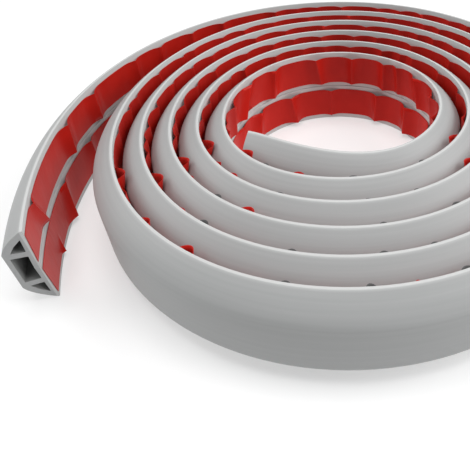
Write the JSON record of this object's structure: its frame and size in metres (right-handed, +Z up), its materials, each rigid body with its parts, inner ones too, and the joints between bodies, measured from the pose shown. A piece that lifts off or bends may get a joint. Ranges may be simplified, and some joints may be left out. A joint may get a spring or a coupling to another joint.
{
  "type": "floor cord cover",
  "caption": "Coiled length of soft cord cover for floors: a low crowned section with hollow cable channels, and lined adhesive tapes along its base.",
  "frame": {"origin": "middle of the coil's footprint, on the surface it lies on", "axes": "+Z up along the coil's axis, which is across the strip's width; -Y towards the viewer of the picture; the free tail ends at the front left"},
  "size_m": [0.2066, 0.206, 0.032],
  "materials": {
    "soft_pvc": "satin",
    "red_liner": "gloss"
  },
  "bodies": {
    "root": {"cover_strip": "soft_pvc", "upper_tape": "red_liner", "lower_tape": "red_liner"}
  },
  "joints": []
}
